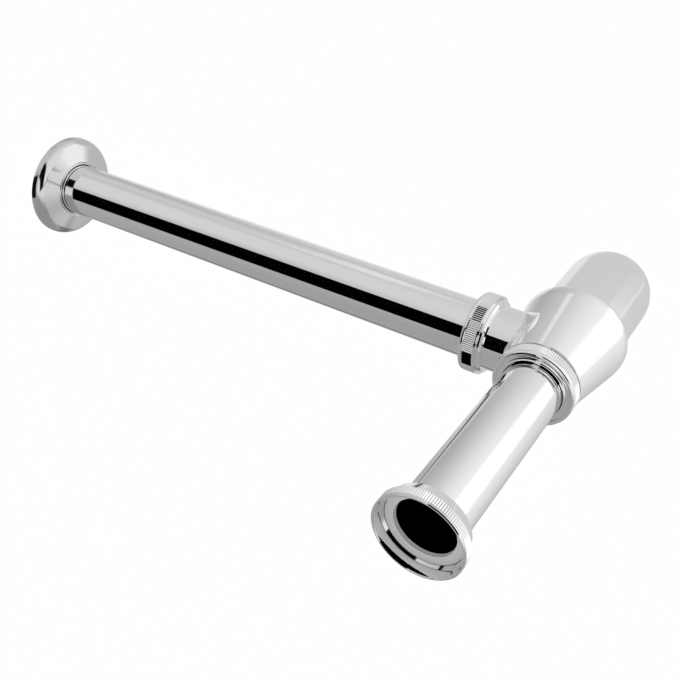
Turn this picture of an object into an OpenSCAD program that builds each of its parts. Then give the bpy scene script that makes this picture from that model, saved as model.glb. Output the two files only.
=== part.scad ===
// Adjustable bottle trap for a wash basin: knurled coupling nut, telescopic inlet tube,
// bell-shaped body with a side neck, screw-on bottle, outlet tube and wall flange.
// +Z runs up the inlet tube, +X along the outlet tube towards the wall.
// The origin is the centre of the inlet washer's top face, where the waste outlet seats.

/* [Layout] */
// Drop from the inlet washer's top face to the axis of the outlet tube
outlet_drop = 139.2; // [90:0.1:260]
// Distance from the inlet axis to the wall behind the flange
wall_reach = 347.3; // [180:0.1:500]
// Length of outlet tube that stands out behind the flange
tube_stub = 12; // [4:0.5:40]
// Depth of the inlet tube's lower end below the outlet axis
dip_depth = 66; // [45:0.5:75]

/* [Tubes] */
// Outside diameter of the inlet and outlet tubes
tube_d = 32; // [24:0.1:44]
// Wall thickness of both tubes
tube_wall = 1.2; // [0.8:0.05:2]
// Outside radius of the flare at the top of the inlet tube, beyond the tube's wall
flare_w = 2.6; // [1.6:0.1:3]
// Thickness of that flare
flare_t = 1.2; // [0.8:0.1:2]
// Thickness of the flat inlet washer
washer_t = 1.8; // [1:0.1:3]

// How far the washer reaches out past the flare
washer_over = 0.8; // [0.4:0.1:1.2]

/* [Coupling nut] */
// Width of the ledge between the washer and the coupling thread's wall
thread_ledge = 1.555; // [1:0.005:3]
// Wall outside the coupling thread, over the rim
coupling_wall = 1.345; // [1.2:0.005:4]
// Depth of the coupling thread above the washer
coupling_depth = 6.8; // [5:0.1:14]
// Length of the coupling nut's full diameter, rim and knurl together
coupling_band = 6; // [4:0.1:7]
// Thickness of the coupling nut's inner shoulder
coupling_shoulder = 1.5; // [1:0.1:3]
// Width of the coupling nut's foot round the tube
coupling_foot = 3; // [2.6:0.1:4]

/* [Slip nuts] */
// Wall thickness of the threaded collars, from the tube's clearance outwards
collar_wall = 3.85; // [3.2:0.05:6]
// Wall of the slip nuts outside their thread
nut_wall = 1.52; // [1.4:0.02:4]
// Length of the slip nuts
nut_len = 9.6; // [8.5:0.1:14]
// Length of collar inside each nut
collar_grip = 4.3; // [3:0.1:5.2]
// Depth of the cone seat in each collar
seat_depth = 4.4; // [3:0.1:5]
// Thickness of the seal's rim above the collar
seal_rim = 1.4; // [0.8:0.1:1.8]
// Thickness of the slip rings
slip_t = 0.7; // [0.4:0.1:1]

/* [Body] */
// Height of the bell's top above the outlet axis
bell_top = 20.5; // [18.4:0.1:40]
// Width of the bell's shoulder round its top collar
bell_shoulder = 1; // [0.8:0.1:2]
// Wall of the bell's lip round the bottle's thread
lip_wall = 3; // [2.8:0.1:8]
// Depth of the threaded mouth below the shelf for the bottle's seal
mouth_depth = 9.65; // [7:0.05:20]
// Radius of the lip that turns in at the mouth
bell_lip = 2.8; // [2:0.1:3.4]
// Radius of the belly's curve between the cone and the lip
belly_curve = 30; // [20:1:60]
// Wall thickness of the bell
bell_wall = 2.6; // [1.8:0.1:3.2]
// Wall thickness of the side neck
neck_wall = 1.3; // [1.1:0.1:2]
// Thickness of the flared saddle where the neck meets the bell
saddle_w = 1.2; // [0.6:0.1:2.4]
// Distance from the inlet axis to the near end of the outlet collar
collar_start = 33.8; // [30:0.1:60]
// Length of outlet collar that shows beside its nut
collar_bare = 2.4; // [1:0.1:6]
// Distance from the inlet axis to the inner end of the outlet tube
tube_start = 23; // [21:0.1:26]

/* [Bottle] */
// Outside radius of the bottle
bottle_r = 24.4; // [22:0.1:27]
// Wall thickness of the bottle
bottle_wall = 1.8; // [1.2:0.1:2.4]
// How far the bottle's threaded top stands out past its side
bottle_step = 1.52; // [1:0.02:2.4]
// Depth of the centre of the bottle's round end below the outlet axis
bottle_centre = 71.2; // [64:0.1:120]
// Thickness of the flat bottle seal
bottle_seal_t = 1.4; // [1:0.1:2]

/* [Wall flange] */
// Outside radius of the wall flange
flange_r = 32.1; // [28:0.1:45]
// Height of the wall flange off the wall
flange_h = 10.4; // [10:0.1:20]
// Thickness of the flange's sheet
flange_t = 1.2; // [0.8:0.1:1.6]
// Thickness of the grip ring between flange and tube
grip_t = 2.4; // [1.8:0.1:3.5]
// Width of the grip ring along the tube
grip_w = 2.6; // [1.5:0.1:4]

/* [Knurl] */
// Number of ribs round each nut
ribs = 120; // [60:1:160]
// Depth of the ribs
rib_depth = 0.4; // [0.2:0.05:0.6]

/* [Clearances] */
// Gap between a loose ring or nut and the tube inside it
loose_gap = 0.35; // [0.2:0.05:0.6]
// Running gap of seals and screw threads
run_gap = 0.08; // [0.03:0.01:0.1]

/* [Hidden] */
$fn = 96;
eps = 0.01;

tube_r = tube_d / 2;
tube_bore_r = tube_r - tube_wall;
loose_r = tube_r + loose_gap;
run_r = tube_r + run_gap;

flare_r = tube_r + flare_w;
washer_r = flare_r + washer_over;
thread_r = washer_r + thread_ledge;
coupling_r = thread_r + coupling_wall;
shoulder_z = -washer_t - flare_t - slip_t;
coupling_z = shoulder_z - coupling_shoulder;
lead_in = 0.5;
knurl_step = 0.05;

collar_r = loose_r + collar_wall;
nut_thread_r = collar_r + run_gap;
nut_r = nut_thread_r + nut_wall;
nut_lip = 1.9;
nut_seat = collar_grip + seal_rim + slip_t;
nut_rim = 0.6;
nut_line = 0.25;
knurl_start = nut_rim + 2 * nut_line;
knurl_end = nut_len - nut_lip - 2 * nut_line;
seat_r = collar_r - 1.6;
seat_foot = 0.4;
neck_bore_r = loose_r;
neck_r = neck_bore_r + neck_wall;
nut_gap = 0.4;
inlet_nut_z = bell_top + nut_gap;
inlet_collar_top = inlet_nut_z + collar_grip;
outlet_nut_x = collar_start + collar_bare;
outlet_collar_end = outlet_nut_x + collar_grip;

bottle_bore_r = bottle_r - bottle_wall;
bottle_thread_r = bottle_r + bottle_step;
mouth_r = bottle_thread_r + run_gap;
shelf_t = 2.2;
shelf_z = -neck_r;
bottle_top = shelf_z - bottle_seal_t;
bell_r = mouth_r + lip_wall;
bell_top_r = collar_r + bell_shoulder;
bell_mouth = mouth_depth - shelf_z;
bell_edge = 0.4;
bell_roof = 6.5;
belly_x = bell_r - belly_curve;
belly_z = -bell_mouth + bell_lip;
bell_a = touch_angle([bell_top_r - belly_x, bell_top - bell_edge - belly_z], belly_curve);
neck_start = 8;
saddle_start = 13;
saddle_end = 22;
thread_inset = 0.4;
bottle_thread_end = -bell_mouth + thread_inset;

tube_end = wall_reach + tube_stub;
grip_r = tube_r + grip_t;
bead_r = 0.72;
bead_out = loose_r + 2 * bead_r;
bead_groove = 0.35;
flange_rim = 1.6;
flange_round = 6.2;
flange_crest_r = bead_out + bead_groove + 0.26;
flange_a = touch_angle([flange_crest_r - flange_r + flange_round, flange_h - flange_rim], flange_round);
flange_web = 0.3;
grip_top = flange_h - flange_t - flange_web;

chrome = "silver";
rubber = [0.16, 0.16, 0.17];
pale = [0.78, 0.79, 0.8];

// Angle at which a line from the point p touches a circle of radius r round the origin
function touch_angle(p, r) = atan2(p.y, p.x) - acos(r / norm(p));

// Radius of the bell's cone at a height above the outlet axis
function bell_r_at(z) = bell_top_r + tan(bell_a) * (bell_top - bell_edge - z);

// Moves a child from the outlet axis's height into the part's frame
module at_outlet() {
    translate([0, 0, -outlet_drop]) children();
}

// Turns a child that is built along +Z so that it runs along +X from the given distance
module along_outlet(x) {
    at_outlet() translate([x, 0, 0]) rotate([0, 90, 0]) children();
}

module ring(r_out, r_in, h) {
    difference() {
        cylinder(r = r_out, h = h);
        translate([0, 0, -eps]) cylinder(r = r_in, h = h + 2 * eps);
    }
}

// Straight ribs round a band: one tooth per rib
module knurl(r, h) {
    step = 360 / ribs;
    linear_extrude(height = h)
        polygon([for (i = [0 : ribs - 1], k = [0 : 1])
            let (a = step * (i + k * 0.5), q = k == 0 ? r : r - rib_depth) [q * cos(a), q * sin(a)]]);
}

// Section of a slip nut: straight side with a rim and two thin lines, a rounded lip
// and a shallow dish between the lip and the tube's hole
module nut_section() {
    core_r = nut_r - rib_depth - knurl_step;
    dish_in = loose_r + 0.5;
    dish_out = nut_r - nut_lip + 0.1;
    dish_rise = 0.9;
    dish_r = norm([(dish_out - dish_in) / 2, dish_rise]);
    difference() {
        union() {
            translate([loose_r, 0]) square([core_r - loose_r, nut_len - nut_lip]);
            translate([loose_r, 0]) square([nut_r - nut_lip - loose_r, nut_len]);
            translate([nut_r - nut_lip, nut_len - nut_lip]) circle(r = nut_lip);
            translate([core_r - eps, nut_line]) square([nut_r - core_r + eps, nut_rim]);
            translate([core_r - eps, knurl_end + nut_line]) square([nut_r - core_r + eps, nut_line]);
        }
        translate([(dish_in + dish_out) / 2, nut_len + dish_rise]) circle(r = dish_r);
    }
}

module slip_nut() {
    difference() {
        union() {
            rotate_extrude() nut_section();
            translate([0, 0, knurl_start]) knurl(nut_r, knurl_end - knurl_start);
        }
        translate([0, 0, -eps]) cylinder(r = nut_thread_r, h = nut_seat + eps);
        translate([0, 0, -eps]) cylinder(r = loose_r, h = nut_len + 2 * eps);
        translate([0, 0, -eps]) cylinder(r1 = nut_thread_r + lead_in, r2 = nut_thread_r, h = lead_in);
    }
}

module slip_ring() {
    ring(collar_r - loose_gap, loose_r, slip_t);
}

// Tapered seal: its cone sits in the collar, its rim on the collar's end
module cone_seal() {
    cone_h = seat_depth - seat_foot;
    rim_r = (seat_r + collar_r) / 2;
    difference() {
        union() {
            translate([0, 0, -cone_h])
                cylinder(r1 = loose_r + seat_foot - run_gap, r2 = seat_r - run_gap, h = cone_h);
            cylinder(r = rim_r, h = seal_rim);
        }
        translate([0, 0, -seat_depth]) cylinder(r = run_r, h = seat_depth + seal_rim + eps);
    }
}

module coupling_nut() {
    rim = 1.1;
    line = 0.35;
    edge = 0.45;
    chamfer = 0.3;
    core_r = coupling_r - rib_depth - knurl_step;
    knurl_z = coupling_depth - coupling_band;
    color(chrome) difference() {
        union() {
            rotate_extrude() polygon([
                [loose_r, coupling_z],
                [loose_r + coupling_foot, coupling_z],
                [core_r - chamfer, knurl_z - chamfer],
                [core_r, knurl_z],
                [core_r, coupling_depth - rim],
                [coupling_r - chamfer / 2, coupling_depth - rim],
                [coupling_r, coupling_depth - rim + chamfer / 2],
                [coupling_r, coupling_depth - edge],
                [coupling_r - edge, coupling_depth],
                [loose_r, coupling_depth]
            ]);
            translate([0, 0, knurl_z]) knurl(coupling_r, coupling_band - rim - line);
        }
        cylinder(r = thread_r, h = coupling_depth + eps);
        translate([0, 0, coupling_depth - chamfer])
            cylinder(r1 = thread_r, r2 = thread_r + chamfer + eps, h = chamfer + eps);
        translate([0, 0, -washer_t]) cylinder(r = washer_r + loose_gap, h = washer_t + eps);
        translate([0, 0, shoulder_z]) cylinder(r = flare_r + loose_gap, h = flare_t + slip_t + eps);
        translate([0, 0, coupling_z - eps]) cylinder(r = loose_r, h = coupling_shoulder + 2 * eps);
    }
}

module coupling_slip_ring() {
    color(pale) translate([0, 0, shoulder_z]) ring(flare_r, loose_r, slip_t);
}

module inlet_washer() {
    color(pale) translate([0, 0, -washer_t]) difference() {
        cylinder(r = washer_r, h = washer_t);
        translate([0, 0, -eps]) cylinder(r = tube_bore_r + loose_gap, h = washer_t + 2 * eps);
    }
}

module inlet_tube() {
    top = -washer_t;
    bottom = -outlet_drop - dip_depth;
    color(chrome) difference() {
        union() {
            translate([0, 0, bottom]) cylinder(r = tube_r, h = top - bottom);
            translate([0, 0, top - flare_t]) cylinder(r = flare_r, h = flare_t);
        }
        translate([0, 0, bottom - eps]) cylinder(r = tube_bore_r, h = top - bottom + 2 * eps);
    }
}

module inlet_nut() {
    color(chrome) at_outlet() translate([0, 0, inlet_nut_z]) slip_nut();
}

module inlet_slip_ring() {
    color(pale) at_outlet() translate([0, 0, inlet_collar_top + seal_rim]) slip_ring();
}

module inlet_seal() {
    color(rubber) at_outlet() translate([0, 0, inlet_collar_top]) cone_seal();
}

// Outside of the bell, grown by an offset: cone, belly curve and lip turned in at the mouth.
// The cone runs from the top edge tangent to the belly's circle.
module bell_section(grow) {
    curve_r = belly_curve + grow;
    top_r = bell_top_r + grow;
    foot_r = bell_r + grow - bell_lip;
    union() {
        polygon([
            [0, bell_top], [top_r - bell_edge, bell_top], [top_r, bell_top - bell_edge],
            [belly_x + curve_r * cos(bell_a), belly_z + curve_r * sin(bell_a)],
            [0, belly_z + curve_r * sin(bell_a)]
        ]);
        intersection() {
            translate([belly_x, belly_z]) circle(r = curve_r, $fn = 360);
            translate([0, belly_z]) square([belly_x + curve_r + 1, curve_r * sin(bell_a) + eps]);
        }
        translate([foot_r, belly_z]) circle(r = bell_lip);
        translate([0, -bell_mouth]) square([foot_r, bell_lip + eps]);
    }
}

// Inside of the bell: chamber, shelf for the bottle's seal, threaded mouth
module bell_cavity() {
    roof_z = bell_top - bell_roof;
    floor_z = shelf_z + shelf_t;
    translate([0, 0, floor_z])
        cylinder(r1 = bell_r_at(floor_z) - bell_wall, r2 = bell_r_at(roof_z) - bell_wall,
                 h = roof_z - floor_z);
    translate([0, 0, shelf_z - eps]) cylinder(r = bottle_bore_r + loose_gap, h = shelf_t + 2 * eps);
    translate([0, 0, -bell_mouth - eps]) cylinder(r = mouth_r, h = shelf_z + bell_mouth + eps);
    translate([0, 0, -bell_mouth - eps]) cylinder(r1 = mouth_r + lead_in, r2 = mouth_r, h = lead_in);
}

// Side neck and its collar, built along +Z from the inlet axis outwards
module neck_solid() {
    collar_cone = 1;
    translate([0, 0, neck_start]) cylinder(r = neck_r, h = collar_start - neck_start + eps);
    translate([0, 0, collar_start])
        cylinder(r1 = collar_r - collar_cone, r2 = collar_r, h = collar_cone);
    translate([0, 0, collar_start + collar_cone])
        cylinder(r = collar_r, h = collar_bare + collar_grip - collar_cone);
}

// Flare between neck and bell, as thick as the saddle on the bell's outside
module saddle() {
    spread = 4.5;
    intersection() {
        rotate_extrude() bell_section(saddle_w);
        translate([saddle_start, 0, 0]) rotate([0, 90, 0])
            cylinder(r1 = neck_r + spread, r2 = neck_r, h = saddle_end - saddle_start);
        translate([0, -bell_r, belly_z])
            cube([saddle_end, 2 * bell_r, bell_top - bell_edge - belly_z]);
    }
}

// Waterway of a collar, down from its end, with the cone seat for its seal
module collar_hole(depth) {
    translate([0, 0, -seat_depth]) cylinder(r1 = loose_r + seat_foot, r2 = seat_r, h = seat_depth + eps);
    translate([0, 0, -depth]) cylinder(r = neck_bore_r, h = depth + eps);
}

module trap_body() {
    color(chrome) at_outlet() difference() {
        union() {
            rotate_extrude() bell_section(0);
            saddle();
            translate([0, 0, bell_top - bell_edge])
                cylinder(r = collar_r, h = inlet_collar_top - bell_top + bell_edge);
            rotate([0, 90, 0]) neck_solid();
        }
        bell_cavity();
        translate([0, 0, inlet_collar_top]) collar_hole(inlet_collar_top - bell_top + bell_roof + eps);
        translate([outlet_collar_end, 0, 0]) rotate([0, 90, 0])
            collar_hole(outlet_collar_end - tube_bore_r);
    }
}

module bottle_seal() {
    color(rubber) at_outlet() translate([0, 0, bottle_top])
        ring(bottle_thread_r - loose_gap, bottle_bore_r + loose_gap, bottle_seal_t);
}

module bottle() {
    color(chrome) at_outlet() difference() {
        union() {
            translate([0, 0, -bottle_centre]) cylinder(r = bottle_r, h = bottle_centre + bottle_top);
            translate([0, 0, -bottle_centre]) sphere(r = bottle_r);
            translate([0, 0, bottle_thread_end])
                cylinder(r = bottle_thread_r, h = bottle_top - bottle_thread_end);
        }
        translate([0, 0, -bottle_centre])
            cylinder(r = bottle_bore_r, h = bottle_centre + bottle_top + eps);
        translate([0, 0, -bottle_centre]) sphere(r = bottle_bore_r);
    }
}

module outlet_nut() {
    color(chrome) along_outlet(outlet_nut_x) slip_nut();
}

module outlet_slip_ring() {
    color(pale) along_outlet(outlet_collar_end + seal_rim) slip_ring();
}

module outlet_seal() {
    color(rubber) along_outlet(outlet_collar_end) cone_seal();
}

module outlet_tube() {
    color(chrome) along_outlet(tube_start) ring(tube_r, tube_bore_r, tube_end - tube_start);
}

// Outline of the flange, radius against height off the wall, reduced by an inset.
// A cone runs from the crest at the tube tangent to the round rim.
module flange_outline(inset) {
    centre = [flange_r - flange_round, flange_rim];
    normal = [cos(flange_a), sin(flange_a)];
    touch = centre + (flange_round - inset) * normal;
    crest = [flange_crest_r, flange_h] - inset * normal;
    union() {
        intersection() {
            translate(centre) circle(r = flange_round - inset);
            square([flange_r, flange_h]);
        }
        square([flange_r - inset, flange_rim]);
        polygon([[0, 0], [centre.x, 0], centre, touch, crest, [0, crest.y]]);
    }
}

// Rolled edge round the tube, on a web that joins it to the sheet from behind
module flange_bead() {
    web_w = 2.4;
    translate([loose_r, grip_top]) square([web_w, 2 * flange_web]);
    translate([loose_r, grip_top]) square([2 * bead_r, flange_h - bead_r - grip_top]);
    translate([loose_r + bead_r, flange_h - bead_r]) circle(r = bead_r);
}

module wall_flange() {
    sleeve_r = grip_r + run_gap;
    sleeve_end = grip_top - grip_w - 0.7;
    groove_depth = 0.9;
    color(chrome) along_outlet(wall_reach) mirror([0, 0, 1]) rotate_extrude() difference() {
        union() {
            difference() {
                flange_outline(0);
                translate([0, -eps]) flange_outline(flange_t);
                translate([0, grip_top]) square([bead_out, flange_h]);
            }
            // sleeve behind the sheet that holds the grip ring
            translate([sleeve_r, sleeve_end]) square([flange_t, grip_top - sleeve_end + 2 * flange_web]);
            flange_bead();
        }
        translate([bead_out, flange_h - groove_depth]) square([bead_groove, flange_h]);
        translate([-1, -1]) square([loose_r + 1, flange_h + 2]);
    }
}

module flange_grip_ring() {
    color(rubber) along_outlet(wall_reach - grip_top + eps) ring(grip_r, run_r, grip_w);
}

coupling_nut();
coupling_slip_ring();
inlet_washer();
inlet_tube();
inlet_nut();
inlet_slip_ring();
inlet_seal();
trap_body();
bottle_seal();
bottle();
outlet_nut();
outlet_slip_ring();
outlet_seal();
outlet_tube();
wall_flange();
flange_grip_ring();
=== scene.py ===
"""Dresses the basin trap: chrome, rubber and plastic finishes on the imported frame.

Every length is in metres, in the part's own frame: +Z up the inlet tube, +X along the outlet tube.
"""
import logging
import math
from dataclasses import dataclass, field
from enum import Enum

import bpy
from mathutils import Matrix, Vector


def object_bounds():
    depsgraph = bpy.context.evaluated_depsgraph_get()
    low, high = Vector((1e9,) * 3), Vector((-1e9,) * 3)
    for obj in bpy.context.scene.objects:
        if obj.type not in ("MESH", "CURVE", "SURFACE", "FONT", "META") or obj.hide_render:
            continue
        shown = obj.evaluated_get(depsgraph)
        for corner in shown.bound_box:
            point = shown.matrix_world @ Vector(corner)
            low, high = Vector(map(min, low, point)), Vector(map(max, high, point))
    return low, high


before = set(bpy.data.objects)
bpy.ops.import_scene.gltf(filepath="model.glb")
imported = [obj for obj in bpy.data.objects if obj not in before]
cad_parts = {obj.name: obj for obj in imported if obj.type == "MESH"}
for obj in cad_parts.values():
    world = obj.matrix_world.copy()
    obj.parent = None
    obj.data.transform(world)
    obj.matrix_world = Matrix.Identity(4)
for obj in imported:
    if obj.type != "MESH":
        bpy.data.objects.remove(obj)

CAD_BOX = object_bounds()
MM = 0.001
WHITE = (1.0, 1.0, 1.0, 1.0)
log = logging.getLogger("basin_trap")


class Value:
    """A number that flows through a shader: its operators add Math nodes."""

    def __init__(self, graph: "Graph", socket: bpy.types.NodeSocket) -> None:
        """Keeps the graph and the socket that carries the number."""
        self.graph = graph
        self.socket = socket

    def _math(self, operation: str, *operands: "Value | float") -> "Value":
        """Adds one Math node.

        Args:
            operation: Blender's name of the operation.
            operands: its inputs, in order.

        Returns:
            The result.
        """
        values = dict(enumerate(operands))
        return self.graph.add("ShaderNodeMath", {"operation": operation}, values)

    def __add__(self, other: "Value | float") -> "Value":
        """Returns self + other."""
        return self._math("ADD", self, other)

    __radd__ = __add__

    def __sub__(self, other: "Value | float") -> "Value":
        """Returns self - other."""
        return self._math("SUBTRACT", self, other)

    def __rsub__(self, other: float) -> "Value":
        """Returns other - self."""
        return self._math("SUBTRACT", other, self)

    def __mul__(self, other: "Value | float") -> "Value":
        """Returns self * other."""
        return self._math("MULTIPLY", self, other)

    __rmul__ = __mul__

    def __truediv__(self, other: "Value | float") -> "Value":
        """Returns self / other."""
        return self._math("DIVIDE", self, other)

    def __pow__(self, other: float) -> "Value":
        """Returns self to the power of other."""
        return self._math("POWER", self, other)

    def size(self) -> "Value":
        """Returns the number without its sign."""
        return self._math("ABSOLUTE", self)

    def angle(self, x: "Value") -> "Value":
        """Returns the angle whose tangent is self over x, in radians."""
        return self._math("ARCTAN2", self, x)

    def arccos(self) -> "Value":
        """Returns the angle whose cosine is self, in radians."""
        return self._math("ARCCOSINE", self)

    def cosine(self) -> "Value":
        """Returns the cosine of an angle in radians."""
        return self._math("COSINE", self)

    def step(self, start: float, end: float) -> "Value":
        """Rises smoothly from 0 at start to 1 at end; start may be the larger.

        Args:
            start: the value at which the result is still 0.
            end: the value at which the result reaches 1.

        Returns:
            The smooth step.
        """
        settings = {"interpolation_type": "SMOOTHSTEP"}
        low, high = (start, end) if start < end else (end, start)
        to_min, to_max = (0.0, 1.0) if start < end else (1.0, 0.0)
        values = {0: self, 1: low, 2: high, 3: to_min, 4: to_max}
        return self.graph.add("ShaderNodeMapRange", settings, values)


class Graph:
    """A node tree that a finish or the studio is written into."""

    def __init__(self, tree: bpy.types.NodeTree) -> None:
        """Empties the tree and keeps it."""
        self.tree = tree
        tree.nodes.clear()

    def node(self, kind: str, settings: dict | None = None, values: dict | None = None) -> bpy.types.Node:
        """Adds a node.

        Args:
            kind: the node's type.
            settings: its properties, set before its sockets.
            values: its inputs by name or number, each a plain value or a link.

        Returns:
            The node.
        """
        made = self.tree.nodes.new(kind)
        for name, setting in (settings or {}).items():
            setattr(made, name, setting)
        for key, value in (values or {}).items():
            if isinstance(value, Value):
                value = value.socket
            if isinstance(value, bpy.types.NodeSocket):
                self.tree.links.new(value, made.inputs[key])
            else:
                made.inputs[key].default_value = value
        return made

    def add(self, kind: str, settings: dict | None = None, values: dict | None = None, out: int | str = 0) -> Value:
        """Adds a node and returns one of its outputs, for use in an expression.

        Args:
            kind: the node's type.
            settings: its properties.
            values: its inputs.
            out: the output's name or number.

        Returns:
            The output as a Value.
        """
        return Value(self, self.node(kind, settings, values).outputs[out])

    def dot(self, direction: Value, axis: Vector) -> Value:
        """Returns how far a direction leans along an axis, as a cosine."""
        values = {0: direction, 1: tuple(axis)}
        return self.add("ShaderNodeVectorMath", {"operation": "DOT_PRODUCT"}, values, "Value")

    def noise(self, point: Value, scale: float, detail: float = 3.0) -> Value:
        """Returns a soft noise round 0.5 over a point, with cells of 1 / scale metres."""
        values = {"Vector": point, "Scale": scale, "Detail": detail}
        return self.add("ShaderNodeTexNoise", {}, values, 0)


def toward(azimuth: float, polar: float) -> Vector:
    """Returns the direction at an azimuth about +Z and a polar angle from it, in degrees."""
    a, p = math.radians(azimuth), math.radians(polar)
    return Vector((math.sin(p) * math.cos(a), math.sin(p) * math.sin(a), math.cos(p)))


@dataclass(frozen=True)
class Card:
    """A flat card or flag in the studio, as seen from the trap: four corners, in order."""

    corners: tuple[tuple[float, float], ...]
    level: float
    soft: float = 0.01

    def mask(self, graph: Graph, direction: Value) -> Value:
        """Returns 1 inside the card and 0 outside it.

        Args:
            graph: the world's graph.
            direction: where a reflected ray goes.

        Returns:
            The mask.
        """
        points = [toward(*corner) for corner in self.corners]
        middle = sum(points, Vector())
        mask: Value | float = 1.0
        for here, there in zip(points, points[1:] + points[:1]):
            side = here.cross(there).normalized()
            side = side if side.dot(middle) > 0 else -side
            mask = graph.dot(direction, side).step(-self.soft, self.soft) * mask
        return mask


@dataclass(frozen=True)
class Glow:
    """A soft patch of the studio's walls: a range of azimuths and polar angles, in degrees."""

    azimuth: float
    spread: float
    top: float
    bottom: float
    level: float
    soft: float = 12.0

    def mask(self, graph: Graph, direction: Value) -> Value:
        """Returns 1 inside the patch, falling softly to 0 outside it.

        Args:
            graph: the world's graph.
            direction: where a reflected ray goes.

        Returns:
            The mask.
        """
        along = graph.dot(direction, toward(self.azimuth, 90))
        across = graph.dot(direction, toward(self.azimuth + 90, 90))
        turn = across.angle(along).size()
        polar = graph.dot(direction, Vector((0, 0, 1))).arccos()
        half, blur = math.radians(self.spread), math.radians(self.soft)
        sides = turn.step(half + blur, half - blur)
        upper = polar.step(math.radians(self.top) - blur, math.radians(self.top) + blur)
        lower = polar.step(math.radians(self.bottom) + blur, math.radians(self.bottom) - blur)
        return sides * upper * lower


@dataclass
class Studio:
    """The camera, the soft room that the chrome mirrors, and the pale floor."""

    eye: Vector = field(default_factory=lambda: Vector((-0.11814, -0.29889, 0.25300)))
    right: Vector = field(default_factory=lambda: Vector((-0.840213, -0.009283, -0.542177)))
    up: Vector = field(default_factory=lambda: Vector((0.326495, -0.806961, -0.492154)))
    lens: float = 51.03
    sensor: float = 36.0
    floor_drop: float = 0.35
    floor_size: float = 4.0
    bright_side: float = -155.0
    bright: float = 0.95
    dim: float = 0.40
    patches: tuple[Glow | Card, ...] = (
        Glow(0, 180, 140, 200, 0.64, 8),
        Glow(25, 30, 134, 158, 0.80, 6),
        Glow(-60, 40, 55, 98, 0.68, 10),
        Glow(100, 55, 10, 96, 0.36, 12),
        Glow(85, 38, 97, 113, 0.22, 5),
        Glow(-60, 5, 108, 127, 0.85, 3),
        Glow(-20, 40, 108, 124, 0.62, 10),
        Glow(-161, 26, 114, 142, 1.15, 7),
        Card(((20.9, 52.7), (-22.2, 54.6), (-66.0, 39.6), (34.8, 17.1)), 0.0),
        Glow(-132, 48, 30, 64, 0.0, 3),
    )

    def camera(self) -> None:
        """Sets the camera at the photograph's place."""
        data = bpy.data.cameras.new("studio_camera")
        data.lens = self.lens
        data.sensor_width = self.sensor
        camera = bpy.data.objects.new("studio_camera", data)
        back = self.right.cross(self.up)
        turn = Matrix((self.right, self.up, back)).transposed()
        camera.matrix_world = Matrix.Translation(self.eye) @ turn.to_4x4()
        bpy.context.scene.collection.objects.link(camera)
        bpy.context.scene.camera = camera
        bpy.context.scene.view_settings.view_transform = "Standard"

    def walls(self) -> None:
        """Makes the room: white to the camera, even for soft light, cards and glows in mirrors."""
        world = bpy.data.worlds.new("studio_room")
        world.use_nodes = True
        bpy.context.scene.world = world
        graph = Graph(world.node_tree)
        direction = graph.add("ShaderNodeTexCoord", out="Generated")
        path = graph.node("ShaderNodeLightPath")
        mirror = Value(graph, path.outputs["Is Glossy Ray"])
        along = graph.dot(direction, toward(self.bright_side, 90))
        across = graph.dot(direction, toward(self.bright_side + 90, 90))
        facing = (across.angle(along).cosine() + 1.0) / 2.0
        level: Value | float = facing ** 1.3 * (self.bright - self.dim) + self.dim
        for patch in self.patches:
            mask = patch.mask(graph, direction)
            level = mask * patch.level + (1.0 - mask) * level
        strength = mirror * level + (1.0 - mirror)
        shine = graph.node("ShaderNodeBackground", {}, {"Color": WHITE, "Strength": strength})
        graph.node("ShaderNodeOutputWorld", {}, {"Surface": shine.outputs[0]})

    def floor(self) -> None:
        """Lays a pale floor well below the trap, white to the camera and not seen in the chrome."""
        half = self.floor_size / 2
        z = CAD_BOX[0][2] - self.floor_drop
        mesh = bpy.data.meshes.new("studio_floor")
        corners = [(-half, -half, z), (half, -half, z), (half, half, z), (-half, half, z)]
        mesh.from_pydata(corners, [], [(0, 1, 2, 3)])
        floor = bpy.data.objects.new("studio_floor", mesh)
        bpy.context.scene.collection.objects.link(floor)
        floor.visible_glossy = False
        material = bpy.data.materials.new("floor_white")
        material.use_nodes = True
        graph = Graph(material.node_tree)
        seen = graph.add("ShaderNodeLightPath", out="Is Camera Ray")
        white = graph.node("ShaderNodeEmission", {}, {"Color": WHITE})
        paper = graph.node("ShaderNodeBsdfDiffuse", {}, {"Color": (0.9, 0.9, 0.9, 1.0)})
        mix = graph.node("ShaderNodeMixShader", {}, {0: seen * 0.94, 1: paper.outputs[0], 2: white.outputs[0]})
        graph.node("ShaderNodeOutputMaterial", {}, {"Surface": mix.outputs[0]})
        mesh.materials.append(material)


@dataclass(frozen=True)
class Metal:
    """Plated metal: how bright, how sharp its mirror is, and how far polishing varies it."""

    name: str
    tint: tuple[float, float, float]
    roughness: float
    haze: float
    ripple: float

    def build(self) -> bpy.types.Material:
        """Builds the material.

        Returns:
            The material, with polishing haze in its roughness and plating ripple in its bump.
        """
        material = bpy.data.materials.new(self.name)
        material.use_nodes = True
        graph = Graph(material.node_tree)
        point = graph.add("ShaderNodeTexCoord", out="Object")
        cloud = graph.noise(point, 90.0, 4.0)
        grain = graph.noise(point, 2600.0, 2.0)
        rough = cloud * self.haze + (self.roughness - self.haze / 2)
        height = graph.noise(point, 140.0, 2.0) + grain * 0.05
        bump = graph.node("ShaderNodeBump", {}, {"Strength": self.ripple, "Distance": 0.0002, "Height": height})
        values = {
            "Base Color": (*self.tint, 1.0),
            "Metallic": 1.0,
            "Roughness": rough,
            "Normal": bump.outputs[0],
        }
        surface = graph.node("ShaderNodeBsdfPrincipled", {}, values)
        graph.node("ShaderNodeOutputMaterial", {}, {"Surface": surface.outputs[0]})
        return material


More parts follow.
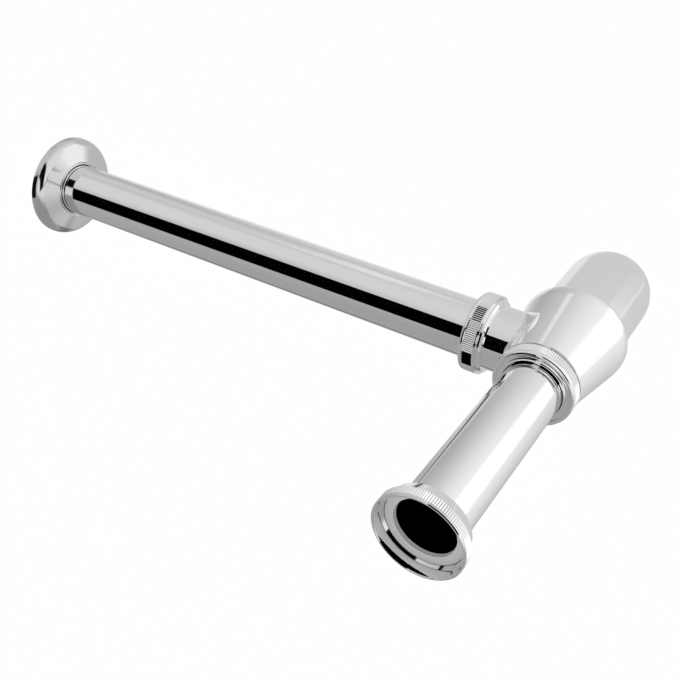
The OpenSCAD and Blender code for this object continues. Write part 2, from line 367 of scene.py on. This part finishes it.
@dataclass(frozen=True)
class Soft:
    """Rubber or plastic: its colour, shine and grain."""

    name: str
    tint: tuple[float, float, float]
    roughness: float
    grain: float

    def build(self) -> bpy.types.Material:
        """Builds the material.

        Returns:
            The material, mottled a little and with a fine grain.
        """
        material = bpy.data.materials.new(self.name)
        material.use_nodes = True
        graph = Graph(material.node_tree)
        point = graph.add("ShaderNodeTexCoord", out="Object")
        cloud = graph.noise(point, 120.0, 4.0)
        darker = tuple(0.82 * c for c in self.tint)
        values = {"Factor": cloud, "A": (*darker, 1.0), "B": (*self.tint, 1.0)}
        mix = graph.node("ShaderNodeMix", {"data_type": "RGBA"})
        for socket in mix.inputs:
            if socket.name in values and socket.enabled:
                value = values[socket.name]
                if isinstance(value, Value):
                    graph.tree.links.new(value.socket, socket)
                else:
                    socket.default_value = value
        colour = next(s for s in mix.outputs if s.enabled)
        height = graph.noise(point, 1800.0, 3.0)
        bump = graph.node("ShaderNodeBump", {}, {"Strength": self.grain, "Distance": 0.0002, "Height": height})
        surface = graph.node("ShaderNodeBsdfPrincipled", {}, {
            "Base Color": colour,
            "Roughness": cloud * 0.15 + (self.roughness - 0.07),
            "Normal": bump.outputs[0],
        })
        graph.node("ShaderNodeOutputMaterial", {}, {"Surface": surface.outputs[0]})
        return material


CHROME = Metal("bright_chrome", (0.93, 0.93, 0.93), 0.03, 0.02, 0.02)
FLANGE_CHROME = Metal("satin_chrome", (0.72, 0.72, 0.73), 0.09, 0.04, 0.03)
BOTTLE_CHROME = Metal("soft_chrome", (0.93, 0.93, 0.93), 0.06, 0.03, 0.03)
RUBBER = Soft("black_rubber", (0.05, 0.05, 0.052), 0.55, 0.2)
WASHER = Soft("washer_grey", (0.62, 0.63, 0.64), 0.45, 0.15)
SLIP = Soft("slip_white", (0.78, 0.78, 0.76), 0.35, 0.1)

FINISHES = {
    "coupling_nut": CHROME,
    "inlet_tube": CHROME,
    "inlet_nut": CHROME,
    "trap_body": CHROME,
    "bottle": BOTTLE_CHROME,
    "outlet_nut": CHROME,
    "outlet_tube": CHROME,
    "wall_flange": FLANGE_CHROME,
    "inlet_washer": WASHER,
    "coupling_slip_ring": SLIP,
    "inlet_slip_ring": SLIP,
    "outlet_slip_ring": SLIP,
    "inlet_seal": RUBBER,
    "outlet_seal": RUBBER,
    "bottle_seal": RUBBER,
    "flange_grip_ring": RUBBER,
}


def dress_frame() -> None:
    """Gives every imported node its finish."""
    built: dict[str, bpy.types.Material] = {}
    for name, finish in FINISHES.items():
        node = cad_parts[name]
        if finish.name not in built:
            built[finish.name] = finish.build()
        node.data.materials.clear()
        node.data.materials.append(built[finish.name])
        log.info("%s wears %s", name, finish.name)


def main() -> None:
    """Builds the studio and the trap, in order."""
    logging.basicConfig(level=logging.INFO, format="%(message)s")
    studio = Studio()
    studio.camera()
    studio.walls()
    studio.floor()
    dress_frame()


if __name__ == "__main__":
    main()
